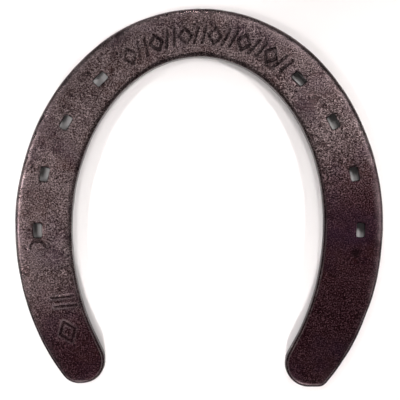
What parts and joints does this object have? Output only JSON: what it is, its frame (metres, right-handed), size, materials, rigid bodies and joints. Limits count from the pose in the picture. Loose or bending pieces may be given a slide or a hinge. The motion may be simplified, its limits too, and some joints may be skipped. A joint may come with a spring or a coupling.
{
  "type": "horseshoe",
  "caption": "Forged steel horseshoe: a flat U-shaped bar with rounded heels, a fullered crease along each branch and rectangular nail holes.",
  "frame": {"origin": "middle of the bounding box, on the ground side (z = 0)", "axes": "+Y toward the toe, +Z from the ground side to the hoof side, +X to the right branch as seen from above with the toe away"},
  "size_m": [0.1246, 0.128, 0.008],
  "materials": {
    "forged_steel": "matte"
  },
  "bodies": {
    "root": {"horseshoe": "forged_steel"}
  },
  "joints": []
}
